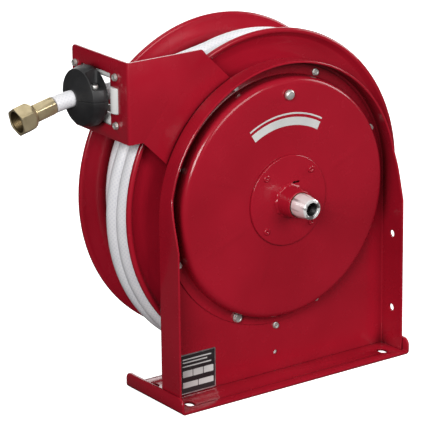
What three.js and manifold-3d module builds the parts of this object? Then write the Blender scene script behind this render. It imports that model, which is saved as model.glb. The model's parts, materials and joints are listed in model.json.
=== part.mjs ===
// A spring-retracted hose reel on a single pedestal.
//
// A folded steel frame stands on a lipped base plate. A wide spool of half-inch hose hangs behind
// the frame on a hollow shaft, and a flat power spring in a round cover on the front winds it in.
// The hose leaves the top of the spool through four guide rollers and ends in a brass garden-hose nut.
//
// Millimetres, +Z up. The origin is the centre of the underside of the base plate. The spool's
// axis runs along Y: the frame's open front and the water inlet face -Y, the hose leaves to -X.

import * as THREE from 'three';
import { mergeVertices } from 'three/addons/utils/BufferGeometryUtils.js';
import Module from 'manifold-3d';

const wasm = await Module();
wasm.setup();

// ---- Driving dimensions -------------------------------------------------------------------------

const fitGap = 0.3; // clearance left between pieces that touch
const sheet = 2.5; // steel of the frame and the guide arm
const thinSheet = 1.5; // steel of the cover and the spool discs

const axisHeight = 230.3; // spool axis above the underside of the base
const roundSides = 48; // facets of the large round pieces
const smallSides = 16; // facets of shafts and rollers
const screwSides = 10; // facets of screw shanks
const screwHole = 2.9; // radius of the holes for the small screws
const pivotHole = 4.4; // radius of the hole for the latch pawl's pivot bolt

const base = { halfWidth: 173, halfDepth: 60, thickness: 3, lipHeight: 20, lipCorner: 8 };
const slot = { x: 147.5, y: 38, width: 11, length: 16 };

const frontY = -12; // front face of the frame's panel
const panelBackY = frontY + sheet;
const frame = {
  halfWidth: base.halfWidth - base.thickness - 0.4,
  archEdgeY: -35.1, // free edge of the flange round the arch
  legEdgeY: -50.8, // free edge of the flange down the legs
  legTopZ: 200, // the deeper flange starts to slope back here
  slopeTopZ: 262, // and has reached the arch's depth here
};
const legHole = { radius: 4.5, y: -31, heights: [54.9, 152.4] }; // in the right leg

const cover = { flangeRadius: 163, radius: 150, shoulder: 9, faceY: -34, hubFaceY: -37.3 };
const screwCircle = 156; // radius of the ring of screws round the cover
const pivotIndex = 5; // this place in the ring holds the latch pawl's pivot instead
const hub = { radius: 56, faceY: -40.4, bossRadius: 19, noseRadius: 17, noseY: -63, bore: 15.3 };
const rivetCircle = 47;
const springPost = { z: 62.6 };
const spareHole = { z: 27.4, radius: 3 };
const anchor = { x: 4, z: axisHeight + 130, radius: 5 };

const shaftRadius = 12.5;
const shaftBore = 7;
const portY = 40; // where water leaves the shaft for the hose
const inletY = -87; // front face of the water inlet

const disc = { radius: 202, webRadius: 186, beadRadius: 3.6 };
const frontWebY = 14; // outer face of the front disc's web
const rearWebY = 105.6; // outer face of the rear disc's web
const beadOffset = 5.8; // how far each rim flares outward from its web
const drumRadius = 138;
const tieBoltCircle = 26;

const hoseRadius = 10;
// Two full layers, then loose outer turns that hang low by the sag and end at stepY.
const pack = { layersRadius: 175.6, turnsRadius: 202, sag: 8, stepY: 59.4 };
const leadRadius = pack.turnsRadius - pack.sag - hoseRadius; // the hose's centre where it leaves the spool

const arm = { topZ: 427, bottomZ: 328.5, faceX: -206.8, rearY: 109.3, corner: 6 };
const guide = { y: 59.55, z: 376.2, boltY: 42.75, boltZ: 29.1 };
const guideWindow = { wideY: 47, wideZ: 16, tallY: 31, tallZ: 31.5 }; // half sizes of its plus shape
const across = { radius: 7.7, x: -196.6, halfBody: 30.4 }; // the top and bottom rollers
const upright = { radius: 8.8, x: -201.2, y: 38.2, halfBody: 15.6 }; // the front and rear rollers
const journal = { radius: 2.4, reach: 3.6 };
const bendX = -190; // the hose runs level in the guide from here on
const post = { size: 16, frontX: -204, backX: -182, plate: 2 };

const stop = { rearX: -207.6, rimX: -231.8, noseX: -241.4, rearRadius: 24, radius: 37, rimRadius: 33.5 };
const stopScrew = { x: -222, y: 21, seatZ: 14 }; // the two screws that clamp the stop's halves
const fitting = { x: -265.6, z: 372.6, droop: -13.58 }; // where the hose enters the ferrule
const ferrule = { length: 28, ridge: 11.4, bore: 6.2 };
const nut = { flats: 31, length: 22, start: 30 };

// ---- Materials ----------------------------------------------------------------------------------

function paint(color, roughness, metalness) {
  return new THREE.MeshStandardMaterial({ color, roughness, metalness });
}
const red = paint(0x9b1a28, 0.28, 0.0);
const zinc = paint(0xb9bcc0, 0.35, 0.9);
const steel = paint(0xc9cbcd, 0.2, 1.0);
const blued = paint(0x45484e, 0.4, 0.9);
const brass = paint(0xc8a24a, 0.25, 1.0);
const bronze = paint(0x9a6b3c, 0.4, 0.9);
const whiteHose = paint(0xe9e9ee, 0.5, 0.0);
const nylon = paint(0xf0efee, 0.4, 0.0);
const rubber = paint(0x1b1b1c, 0.6, 0.0);
const plate = paint(0x8d8a8c, 0.4, 0.3);

// ---- Shape helpers ------------------------------------------------------------------------------

// One closed mesh with shared corners and no flat triangles.
function closed(geometry) {
  const bare = geometry.clone();
  bare.deleteAttribute('normal');
  bare.deleteAttribute('uv');
  const merged = mergeVertices(bare, 1e-4);
  const source = merged.index.array;
  const kept = [];
  for (let i = 0; i < source.length; i += 3) {
    const [a, b, c] = [source[i], source[i + 1], source[i + 2]];
    if (a !== b && b !== c && c !== a) kept.push(a, b, c);
  }
  merged.setIndex(kept);
  return merged;
}

function toSolid(geometry) {
  const merged = closed(geometry);
  const vertProperties = new Float32Array(merged.attributes.position.array);
  const triVerts = new Uint32Array(merged.index.array);
  return new wasm.Manifold(new wasm.Mesh({ numProp: 3, vertProperties, triVerts }));
}

function toGeometry(solid) {
  const mesh = solid.getMesh();
  const geometry = new THREE.BufferGeometry();
  geometry.setAttribute('position', new THREE.BufferAttribute(new Float32Array(mesh.vertProperties), 3));
  geometry.setIndex(Array.from(mesh.triVerts));
  return geometry;
}

const cut = (body, ...tools) => toGeometry(tools.reduce((s, t) => s.subtract(toSolid(t)), toSolid(body)));
const join = (body, ...others) => toGeometry(others.reduce((s, o) => s.add(toSolid(o)), toSolid(body)));
const keep = (body, tool) => toGeometry(toSolid(body).intersect(toSolid(tool)));

function box(x0, x1, y0, y1, z0, z1) {
  const geometry = new THREE.BoxGeometry(x1 - x0, y1 - y0, z1 - z0);
  return geometry.translate((x0 + x1) / 2, (y0 + y1) / 2, (z0 + z1) / 2);
}

// A body of revolution about the Y axis. The outline is a closed ring of [radius, y] points.
function turned(outline, sides = roundSides) {
  const points = outline.map(([r, y]) => new THREE.Vector2(r, y));
  if (THREE.ShapeUtils.isClockWise(points)) points.reverse();
  points.push(points[0].clone());
  return new THREE.LatheGeometry(points, sides);
}

// The same with its axis along X or Z.
const turnedAlongX = (outline, sides) => turned(outline, sides).rotateZ(-Math.PI / 2);
const turnedAlongZ = (outline, sides) => turned(outline, sides).rotateX(Math.PI / 2);

const rodOutline = (radius, start, end) => [[0, start], [radius, start], [radius, end], [0, end]];
const tubeOutline = (bore, radius, y0, y1) => [[bore, y0], [radius, y0], [radius, y1], [bore, y1]];

function rodAlongY(radius, x, z, y0, y1, sides = screwSides) {
  return turned(rodOutline(radius, y0, y1), sides).translate(x, 0, z);
}
function rodAlongX(radius, y, z, x0, x1, sides = screwSides) {
  return turnedAlongX(rodOutline(radius, x0, x1), sides).translate(0, y, z);
}
function rodAlongZ(radius, x, y, z0, z1, sides = screwSides) {
  return turnedAlongZ(rodOutline(radius, z0, z1), sides).translate(x, y, 0);
}

function outlineShape(points) {
  return new THREE.Shape(points.map(([u, v]) => new THREE.Vector2(u, v)));
}

// A plate whose outline is drawn in X and Z, from y0 back to y1.
function plateXZ(shape, y0, y1, curveSegments = 12) {
  const geometry = new THREE.ExtrudeGeometry(shape, { depth: y1 - y0, bevelEnabled: false, curveSegments });
  return geometry.rotateX(Math.PI / 2).translate(0, y1, 0);
}

// A plate whose outline is drawn in Y and Z, from x0 to x1.
function plateYZ(shape, x0, x1, curveSegments = 6) {
  const geometry = new THREE.ExtrudeGeometry(shape, { depth: x1 - x0, bevelEnabled: false, curveSegments });
  const turn = new THREE.Matrix4().makeBasis(
    new THREE.Vector3(0, 1, 0),
    new THREE.Vector3(0, 0, 1),
    new THREE.Vector3(1, 0, 0),
  );
  return geometry.applyMatrix4(turn).translate(x0, 0, 0);
}

// A rectangle in u and v. Its corners [low-left, low-right, top-right, top-left] may be rounded.
function roundedRectangle(u0, u1, v0, v1, [a, b, c, d]) {
  const shape = new THREE.Shape();
  shape.moveTo(u0 + a, v0);
  shape.lineTo(u1 - b, v0);
  if (b) shape.absarc(u1 - b, v0 + b, b, -Math.PI / 2, 0);
  shape.lineTo(u1, v1 - c);
  if (c) shape.absarc(u1 - c, v1 - c, c, 0, Math.PI / 2);
  shape.lineTo(u0 + d, v1);
  if (d) shape.absarc(u0 + d, v1 - d, d, Math.PI / 2, Math.PI);
  shape.lineTo(u0, v0 + a);
  if (a) shape.absarc(u0 + a, v0 + a, a, Math.PI, 1.5 * Math.PI);
  return shape;
}

// A tube or rod swept along a smooth curve through the given points.
function swept(points, shape, steps) {
  const extrudePath = new THREE.CatmullRomCurve3(points.map((p) => new THREE.Vector3(...p)));
  return new THREE.ExtrudeGeometry(shape, { extrudePath, steps, curveSegments: 6, bevelEnabled: false });
}

function circleShape(radius, holeRadius = 0) {
  const shape = new THREE.Shape();
  shape.absarc(0, 0, radius, 0, 2 * Math.PI);
  if (holeRadius) {
    const hole = new THREE.Path();
    hole.absarc(0, 0, holeRadius, 0, 2 * Math.PI, true);
    shape.holes.push(hole);
  }
  return shape;
}

// A hexagon-headed screw along +Y whose head sits in front of headBackY.
function screwAlongY(x, z, headBackY, endY, shankRadius, headRadius, headHeight) {
  const head = rodAlongY(headRadius, x, z, headBackY - headHeight, headBackY, 6);
  return join(head, rodAlongY(shankRadius, x, z, headBackY - 1, endY));
}

const reel = new THREE.Group();

function add(name, geometry, material, parent = reel) {
  const mesh = new THREE.Mesh(geometry, material);
  mesh.name = name;
  parent.add(mesh);
  return mesh;
}

// Pieces centred on the spool's axis are drawn about the origin and lifted to the axis height.
function addOnAxis(name, geometry, material) {
  add(name, geometry, material).position.z = axisHeight;
}

const ringPlaces = [];
for (let i = 0; i < 8; i += 1) {
  const angle = ((22.5 + 45 * i) * Math.PI) / 180;
  ringPlaces.push([screwCircle * Math.cos(angle), axisHeight + screwCircle * Math.sin(angle)]);
}
const pivot = ringPlaces[pivotIndex];

// ---- Base and frame -----------------------------------------------------------------------------

function basePlate() {
  const { halfWidth, halfDepth, thickness, lipHeight, lipCorner } = base;
  const floor = box(-halfWidth, halfWidth, -halfDepth, halfDepth, 0, thickness);
  const lipShape = roundedRectangle(-halfDepth, halfDepth, 0, lipHeight, [0, 0, lipCorner, lipCorner]);
  const leftLip = plateYZ(lipShape, -halfWidth, -halfWidth + thickness);
  const rightLip = plateYZ(lipShape, halfWidth - thickness, halfWidth);
  const slots = [];
  for (const sideX of [-1, 1]) {
    for (const sideY of [-1, 1]) {
      const [x, y] = [sideX * slot.x, sideY * slot.y];
      const round = slot.width / 2;
      const shape = roundedRectangle(
        x - round, x + round, y - slot.length / 2, y + slot.length / 2, [round, round, round, round],
      );
      const through = { depth: 3 * thickness, bevelEnabled: false, curveSegments: 4 };
      slots.push(new THREE.ExtrudeGeometry(shape, through).translate(0, 0, -thickness));
    }
  }
  return cut(join(floor, leftLip, rightLip), ...slots);
}

// An upright with a round top: straight sides up to the axis, then a half circle.
function archShape(halfWidth, bottomZ) {
  const shape = new THREE.Shape();
  shape.moveTo(-halfWidth, bottomZ);
  shape.lineTo(halfWidth, bottomZ);
  shape.absarc(0, axisHeight, halfWidth, 0, Math.PI);
  return shape;
}

function uprightFrame() {
  const bottomZ = base.thickness + fitGap;
  const outer = archShape(frame.halfWidth, bottomZ);
  const archSegments = 28;
  const inner = archShape(frame.halfWidth - sheet, bottomZ - 10);
  const panel = plateXZ(outer, frontY, panelBackY, archSegments);
  const block = plateXZ(outer, frame.legEdgeY, panelBackY, archSegments);
  const hollow = plateXZ(inner, frame.legEdgeY - 10, panelBackY + 10, archSegments);
  const inFront = plateYZ(outlineShape([
    [frame.legEdgeY - 20, frame.legTopZ],
    [frame.legEdgeY, frame.legTopZ],
    [frame.archEdgeY, frame.slopeTopZ],
    [frame.archEdgeY, 2 * axisHeight],
    [frame.legEdgeY - 20, 2 * axisHeight],
  ]), -2 * frame.halfWidth, 2 * frame.halfWidth);
  const flange = cut(block, hollow, inFront);
  const holes = legHole.heights.map((z) => rodAlongX(legHole.radius, legHole.y, z, 100, 200, 12));
  ringPlaces.forEach(([x, z], i) => {
    const radius = i === pivotIndex ? pivotHole : screwHole;
    holes.push(rodAlongY(radius, x, z, frontY - 5, panelBackY + 5));
  });
  holes.push(rodAlongY(20.4, 0, axisHeight, frontY - 5, panelBackY + 5, 24));
  holes.push(rodAlongY(screwHole, 0, springPost.z, frontY - 5, panelBackY + 5));
  holes.push(rodAlongY(spareHole.radius, 0, spareHole.z, frontY - 5, panelBackY + 5));
  return cut(join(panel, flange), ...holes);
}

add('base_plate', basePlate(), red);
add('upright_frame', uprightFrame(), red);
add('data_plate', box(-143, -91, frontY - fitGap - 0.6, frontY - fitGap, 4.2, 55), plate);

// ---- Spring cover, hub and their fasteners ------------------------------------------------------

function arcPoints(centreR, centreY, radius, from, to, steps) {
  const points = [];
  for (let i = 0; i <= steps; i += 1) {
    const a = from + ((to - from) * i) / steps;
    points.push([centreR + radius * Math.cos(a), centreY + radius * Math.sin(a)]);
  }
  return points;
}

function springCover() {
  const { flangeRadius, radius, shoulder, faceY, hubFaceY } = cover;
  const backY = frontY - fitGap;
  const shoulderR = radius - shoulder;
  const shoulderY = faceY + shoulder;
  const shell = turned([
    [flangeRadius, backY],
    [flangeRadius, backY - thinSheet],
    [radius, backY - thinSheet],
    ...arcPoints(shoulderR, shoulderY, shoulder, 0, -Math.PI / 2, 4),
    [hub.radius + 2, hubFaceY],
    [24, hubFaceY],
    [24, hubFaceY + thinSheet],
    [hub.radius + 2, hubFaceY + thinSheet],
    ...arcPoints(shoulderR, shoulderY, shoulder - thinSheet, -Math.PI / 2, 0, 3),
    [radius - thinSheet, backY],
  ]).translate(0, 0, axisHeight);
  const holes = ringPlaces.map(([x, z], i) => (
    rodAlongY(i === pivotIndex ? pivotHole : screwHole, x, z, -20, 0)
  ));
  holes.push(rodAlongY(anchor.radius + fitGap, anchor.x, anchor.z, -50, -20));
  return cut(shell, ...holes, ...rivetHoles());
}

const rivetPlaces = [];
for (let i = 0; i < 4; i += 1) {
  const angle = ((45 + 90 * i) * Math.PI) / 180;
  rivetPlaces.push([rivetCircle * Math.cos(angle), axisHeight + rivetCircle * Math.sin(angle)]);
}
const rivetHoles = () => rivetPlaces.map(([x, z]) => rodAlongY(2.3, x, z, -50, -20));

function hubPlate() {
  const backY = cover.hubFaceY - fitGap;
  const body = turned([
    [hub.bore, backY],
    [hub.radius, backY],
    [hub.radius, hub.faceY + 1],
    [hub.radius - 1, hub.faceY],
    [hub.bossRadius, hub.faceY],
    [hub.noseRadius, hub.noseY],
    [hub.bore, hub.noseY],
  ]).translate(0, 0, axisHeight);
  const drain = box(6, 16, -50, -20, axisHeight + 20, axisHeight + 22.6);
  return cut(body, drain, ...rivetHoles());
}

add('spring_cover', springCover(), red);
add('hub_plate', hubPlate(), red);
rivetPlaces.forEach(([x, z], i) => {
  const headBackY = hub.faceY - fitGap;
  const headOutline = [[0, headBackY - 1.8], [2.4, headBackY - 1.6], [4, headBackY], [0, headBackY]];
  const head = turned(headOutline, screwSides).translate(x, 0, z);
  const shank = rodAlongY(2, x, z, headBackY - 0.5, cover.hubFaceY + 4);
  add(`hub_rivet_${i + 1}`, join(head, shank), red);
});

const flangeFrontY = frontY - fitGap - thinSheet;
const armBackY = panelBackY + fitGap + sheet;
ringPlaces.forEach(([x, z], i) => {
  if (i === pivotIndex) return;
  const number = i < pivotIndex ? i + 1 : i;
  const screw = screwAlongY(x, z, flangeFrontY - fitGap, armBackY + 3, 2.5, 4.4, 3.2);
  add(`cover_screw_${number}`, screw, zinc);
});

const anchorHead = turned([
  [0, cover.hubFaceY - 3.4],
  [4.6, cover.hubFaceY - 3],
  [6.2, cover.hubFaceY - 1.4],
  [6.2, cover.hubFaceY + 1.6],
  [0, cover.hubFaceY + 1.6],
], smallSides).translate(anchor.x, 0, anchor.z);
const anchorShank = rodAlongY(anchor.radius, anchor.x, anchor.z, cover.hubFaceY, frontY - 3);
add('spring_anchor_bolt', join(anchorHead, anchorShank), zinc);

// ---- Power spring, its arbor and the bearings ---------------------------------------------------

const springY = { front: -31, back: -17 };

function powerSpring() {
  const turns = 8;
  const steps = turns * 28;
  const innerRadius = 27;
  const outerRadius = 121;
  const halfThickness = 0.6;
  const outside = [];
  const inside = [];
  for (let i = 0; i <= steps; i += 1) {
    const angle = Math.PI / 2 - (2 * Math.PI * turns * i) / steps;
    const radius = outerRadius - ((outerRadius - innerRadius) * i) / steps;
    const [c, s] = [Math.cos(angle), Math.sin(angle)];
    outside.push([(radius + halfThickness) * c, (radius + halfThickness) * s]);
    inside.push([(radius - halfThickness) * c, (radius - halfThickness) * s]);
  }
  const strip = outlineShape([...outside, ...inside.reverse()]);
  return plateXZ(strip, springY.front, springY.back);
}

addOnAxis('power_spring', powerSpring(), blued);
addOnAxis('spring_arbor', turned(tubeOutline(shaftRadius + fitGap, 25, -32, -14), 24), steel);
const frontBearing = tubeOutline(shaftRadius + fitGap, hub.bore - fitGap, -62, -40);
addOnAxis('front_bearing', turned(frontBearing, 24), bronze);
addOnAxis('panel_bearing', turned([
  [shaftRadius + fitGap, frontY],
  [20, frontY],
  [20, panelBackY + fitGap],
  [28, panelBackY + fitGap],
  [28, panelBackY + 3],
  [shaftRadius + fitGap, panelBackY + 3],
], 24), bronze);

// ---- Shaft and water inlet ----------------------------------------------------------------------

const shaftFrontY = hub.noseY + 1;
const spigotEndY = -47;

function mainShaft() {
  const body = turned([
    [spoolSeat.spigotBore, shaftFrontY],
    [shaftRadius, shaftFrontY],
    [shaftRadius, rearWebY + 2],
    [spoolSeat.thread, rearWebY + 2],
    [spoolSeat.thread, rearWebY + 15],
    [0, rearWebY + 15],
    [0, portY + 10],
    [shaftBore, portY + 10],
    [shaftBore, spigotEndY],
    [spoolSeat.spigotBore, spigotEndY],
  ], smallSides);
  return cut(body, rodAlongZ(5, 0, portY, 0, 20));
}

const spoolSeat = { spigotBore: 9.3, thread: 9 };
addOnAxis('main_shaft', mainShaft(), steel);

addOnAxis('inlet_swivel', turned([
  [5, spigotEndY - 1],
  [8.8, spigotEndY - 1],
  [8.8, hub.noseY - 1.2],
  [14.8, hub.noseY - 1.2],
  [14.8, inletY + 16],
  [12.4, inletY + 0.8],
  [11.4, inletY],
  [8, inletY],
  [8, inletY + 14],
  [5, inletY + 15],
], 24), steel);

// ---- Spool --------------------------------------------------------------------------------------

const boltAngles = [30, 150, 270].map((degrees) => (degrees * Math.PI) / 180);
const tieBoltPlaces = boltAngles.map((a) => [tieBoltCircle * Math.cos(a), tieBoltCircle * Math.sin(a)]);
const tieBoltHoles = () => tieBoltPlaces.map(([x, z]) => rodAlongY(3.4, x, z, -20, 130));

// A pressed disc whose rim flares outward and ends in a rolled bead. side is -1 at the front, 1 at the back.
function spoolDisc(outerFaceY, side) {
  const inner = outerFaceY - side * thinSheet;
  const beadY = outerFaceY + side * beadOffset;
  const beadR = disc.radius - disc.beadRadius;
  const bead = arcPoints(beadR, beadY, disc.beadRadius, -side * 0.75 * Math.PI, side * 0.75 * Math.PI, 6);
  const outline = [
    [shaftRadius + fitGap, inner],
    [disc.webRadius, inner],
    ...bead,
    [disc.webRadius, outerFaceY],
    [shaftRadius + fitGap, outerFaceY],
  ];
  return cut(turned(outline), ...tieBoltHoles());
}

addOnAxis('front_disc', spoolDisc(frontWebY, -1), red);
addOnAxis('rear_disc', spoolDisc(rearWebY, 1), red);

const packFrontY = frontWebY + thinSheet + fitGap;
const packRearY = rearWebY - thinSheet - fitGap;

function spoolHub() {
  const flange = 3;
  const sleeve = turned([
    [shaftRadius + fitGap, packFrontY],
    [34, packFrontY],
    [34, packFrontY + flange],
    [19, packFrontY + flange],
    [19, packRearY - flange],
    [34, packRearY - flange],
    [34, packRearY],
    [shaftRadius + fitGap, packRearY],
  ], 24);
  return cut(sleeve, rodAlongZ(5, 0, portY, 0, 40), ...tieBoltHoles());
}

addOnAxis('spool_hub', spoolHub(), red);
addOnAxis('drum', cut(
  turned(tubeOutline(drumRadius - thinSheet, drumRadius, packFrontY, packRearY)),
  box(20, 90, packFrontY + 2, packFrontY + 26, 90, 150),
), red);

// The wound hose: two full layers, and a loose third that has reached only part of the way across.
// The third hangs low whichever way the spool is turned.
const layers = turned(tubeOutline(drumRadius + fitGap, pack.layersRadius, packFrontY, packRearY));
const turnsInnerRadius = pack.layersRadius + pack.sag + 2 * fitGap;
const outerTurns = turned(tubeOutline(turnsInnerRadius, pack.turnsRadius, packFrontY, pack.stepY));
addOnAxis('hose_layers', layers, whiteHose);
addOnAxis('hose_outer_turns', outerTurns.translate(0, 0, -pack.sag), whiteHose);

tieBoltPlaces.forEach(([x, z], i) => {
  const bolt = screwAlongY(x, z, frontWebY - fitGap, rearWebY + 8, 3, 5.6, 3.6);
  addOnAxis(`tie_bolt_${i + 1}`, bolt, zinc);
});

function ratchetRing() {
  const teeth = 8;
  const phase = (-9 * Math.PI) / 180; // puts a gap between two teeth in line with the latch pawl
  const [rootRadius, tipRadius, innerRadius] = [91, 98, 84];
  const pitch = (2 * Math.PI) / teeth;
  const oneTooth = [
    [rootRadius, 0],
    [tipRadius, 0.06],
    [tipRadius, 0.2],
    [tipRadius, 0.34],
    [rootRadius, 0.4],
    [rootRadius, 0.7],
  ];
  const outline = [];
  for (let i = 0; i < teeth; i += 1) {
    for (const [radius, part] of oneTooth) {
      const angle = phase + (i + part) * pitch;
      outline.push([radius * Math.cos(angle), radius * Math.sin(angle)]);
    }
  }
  const shape = outlineShape(outline);
  const hole = new THREE.Path();
  hole.absarc(0, 0, innerRadius, 0, 2 * Math.PI, true);
  shape.holes.push(hole);
  return plateXZ(shape, frontWebY - fitGap - 4, frontWebY - fitGap, 36);
}

addOnAxis('ratchet_ring', ratchetRing(), steel);

const elbowRoute = [
  [0, portY, 20],
  [0, portY, 50],
  [0, portY, 78],
  [8, portY - 4, 100],
  [30, portY - 9, 112],
];
addOnAxis('hose_elbow', swept(elbowRoute, circleShape(7.5, 4.5), 10), brass);

const rearNutY = rearWebY + fitGap;
addOnAxis('shaft_nut', cut(
  turned(rodOutline(17, rearNutY + 2, rearNutY + 12), 6),
  turned(rodOutline(spoolSeat.thread + fitGap, rearNutY - 5, rearNutY + 20), smallSides),
), zinc);

// ---- Latch --------------------------------------------------------------------------------------

const [pivotX, pivotZ] = pivot;
const latch = { length: 62, released: -22, earAlong: -9, earSide: 26 };
const turnBack = (latch.released * Math.PI) / 180;
const inward = new THREE.Vector2(-pivotX, axisHeight - pivotZ).normalize();
const pawlAlong = inward.clone().rotateAround(new THREE.Vector2(), -turnBack);
const pawlAcross = new THREE.Vector2(pawlAlong.y, -pawlAlong.x);

// A place on the released pawl, counted along its finger and across it from the pivot.
function onPawl(along, side) {
  return [
    pivotX + along * pawlAlong.x + side * pawlAcross.x,
    pivotZ + along * pawlAlong.y + side * pawlAcross.y,
  ];
}

function latchPawl() {
  const { length, earAlong, earSide } = latch;
  const [fingerFront, fingerBack] = [frontWebY - fitGap - 4, frontWebY - 0.8];
  const finger = plateXZ(outlineShape([
    onPawl(0, -8),
    onPawl(0, 8),
    onPawl(length - 8, 6),
    onPawl(length, 2.5),
    onPawl(length, -2.5),
    onPawl(length - 8, -6),
  ]), fingerFront, fingerBack);
  const ear = plateXZ(outlineShape([
    onPawl(-6, 0),
    onPawl(6, 0),
    onPawl(earAlong + 3, earSide),
    onPawl(earAlong - 3, earSide),
  ]), -3, 0);
  const boss = rodAlongY(9, pivotX, pivotZ, -5, fingerBack, 14);
  return cut(join(boss, finger, ear), rodAlongY(4.3, pivotX, pivotZ, -20, 30));
}

add('latch_pawl', latchPawl(), steel);
const pivotBolt = screwAlongY(pivotX, pivotZ, flangeFrontY - fitGap, frontWebY - 0.6, 4, 5.8, 4.6);
add('pawl_pivot_bolt', pivotBolt, zinc);
add('pawl_spring_post', screwAlongY(0, springPost.z, frontY - fitGap, 3, 2.5, 4.2, 3), zinc);

function pawlSpring() {
  const y = -1.5;
  const radius = 2.6;
  const [startX, startZ] = onPawl(latch.earAlong, latch.earSide + 1.6);
  const start = new THREE.Vector3(startX, y, startZ);
  const end = new THREE.Vector3(-3.4, y, springPost.z + 0.2);
  const rod = new THREE.CylinderGeometry(radius, radius, start.distanceTo(end), 8);
  const turn = new THREE.Quaternion().setFromUnitVectors(
    new THREE.Vector3(0, 1, 0),
    end.clone().sub(start).normalize(),
  );
  return rod.applyQuaternion(turn).translate((start.x + end.x) / 2, y, (start.z + end.z) / 2);
}

add('pawl_spring', pawlSpring(), blued);

// ---- Hose guide ---------------------------------------------------------------------------------

const guideBolts = [];
for (const sideY of [-1, 1]) {
  for (const sideZ of [-1, 1]) {
    guideBolts.push([guide.y + sideY * guide.boltY, guide.z + sideZ * guide.boltZ]);
  }
}

// The arm is one plate: a 45 degree band behind the frame, widened to the left and folded back.
function guideArm() {
  const { topZ, bottomZ, faceX, rearY, corner } = arm;
  const armFrontY = panelBackY + fitGap;
  const front = plateXZ(outlineShape([
    [faceX, bottomZ],
    [-187, bottomZ],
    [-111, bottomZ - 76],
    [-20, bottomZ + 15],
    [-95, bottomZ + 90],
    [-98, topZ - 2],
    [-104, topZ],
    [faceX, topZ],
  ]), armFrontY, armBackY);
  const face = roundedRectangle(armFrontY, rearY, bottomZ, topZ, [0, corner, corner, 0]);
  const flange = plateYZ(face, faceX, faceX + sheet);
  const windowDepth = [faceX - 5, faceX + sheet + 5];
  const opening = (y, z) => box(...windowDepth, guide.y - y, guide.y + y, guide.z - z, guide.z + z);
  const wide = opening(guideWindow.wideY, guideWindow.wideZ);
  const tall = opening(guideWindow.tallY, guideWindow.tallZ);
  const holes = guideBolts.map(([y, z]) => rodAlongX(screwHole, y, z, ...windowDepth));
  for (const i of [2, 3]) {
    const [x, z] = ringPlaces[i];
    holes.push(rodAlongY(screwHole, x, z, armFrontY - 5, armBackY + 5));
  }
  return cut(join(front, flange), wide, tall, ...holes);
}

// Four corner posts on a back plate. The rollers' journals turn in blind bores in the posts.
function rollerFrame() {
  const half = post.size / 2;
  const outerY = guide.boltY + half;
  const outerZ = guide.boltZ + half;
  const plateX = [post.backX, post.backX + post.plate];
  const ring = box(...plateX, guide.y - outerY, guide.y + outerY, guide.z - outerZ, guide.z + outerZ);
  const openX = [post.backX - 5, post.backX + 9];
  const opening = box(...openX, guide.y - 33, guide.y + 33, guide.z - 20, guide.z + 20);
  const posts = guideBolts.map(([y, z]) => (
    box(post.frontX, post.backX + 0.5, y - half, y + half, z - half, z + half)
  ));
  const bolts = guideBolts.map(([y, z]) => rodAlongX(2.8, y, z, post.frontX - 5, post.frontX + 7));
  const bores = [];
  for (const side of [-1, 1]) {
    const reachY = guide.boltY - half + journal.reach + 0.4;
    const reachZ = guide.boltZ - half + journal.reach + 0.4;
    const z = guide.z + side * guide.boltZ;
    const y = guide.y + side * upright.y;
    bores.push(rodAlongY(journal.radius + fitGap, across.x, z, guide.y - reachY, guide.y + reachY, 12));
    bores.push(rodAlongZ(journal.radius + fitGap, upright.x, y, guide.z - reachZ, guide.z + reachZ, 12));
  }
  return cut(join(ring, ...posts), opening, ...bolts, ...bores);
}

// Half of a roller's outline, mirrored end to end. The journals stick out of its body.
function rollerOutline({ radius, halfBody }, halfTotal) {
  const half = [
    [radius, halfBody - 1],
    [radius - 1, halfBody],
    [journal.radius, halfBody],
    [journal.radius, halfTotal],
    [0, halfTotal],
  ];
  return [...half.map(([r, s]) => [r, -s]).reverse(), ...half];
}

add('guide_arm', guideArm(), red);
add('roller_frame', rollerFrame(), zinc);
guideBolts.forEach(([y, z], i) => {
  const head = rodAlongX(4.6, y, z, arm.faceX - fitGap - 3.4, arm.faceX - fitGap, 6);
  const shank = rodAlongX(2.5, y, z, arm.faceX - 1, post.frontX + 6.4);
  add(`guide_bolt_${i + 1}`, join(head, shank), zinc);
});

const pastPost = journal.reach - post.size / 2; // a journal's end, counted from the middle of its post
for (const [name, side] of [['roller_bottom', -1], ['roller_top', 1]]) {
  const body = add(name, turned(rollerOutline(across, guide.boltY + pastPost), smallSides), nylon);
  body.position.set(across.x, guide.y, guide.z + side * guide.boltZ);
}
for (const [name, side] of [['roller_front', -1], ['roller_rear', 1]]) {
  const body = add(name, turnedAlongZ(rollerOutline(upright, guide.boltZ + pastPost), smallSides), nylon);
  body.position.set(upright.x, guide.y + side * upright.y, guide.z);
}

// ---- Hose lead, stop and end fitting ------------------------------------------------------------

// The hose runs off the outer turn on its tangent, bends level in the rollers and meets the stop.
function hoseLead() {
  const toGuide = new THREE.Vector2(bendX, guide.z - axisHeight);
  const slope = Math.atan2(-toGuide.x, toGuide.y) - Math.acos(leadRadius / toGuide.length());
  const clearOfPack = 104;
  const [c, s] = [Math.cos(slope), Math.sin(slope)];
  const along = (distance) => [-leadRadius * s - distance * c, axisHeight + leadRadius * c - distance * s];
  const [startX, startZ] = along(clearOfPack);
  const [middleX, middleZ] = along(clearOfPack + 28);
  return swept([
    [startX, 56.6, startZ],
    [middleX, 58.6, middleZ],
    [bendX, guide.y, guide.z + 0.4],
    [stop.rearX + 0.6, guide.y, guide.z],
  ], circleShape(hoseRadius), 8);
}

add('hose_lead', hoseLead(), whiteHose);

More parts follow.
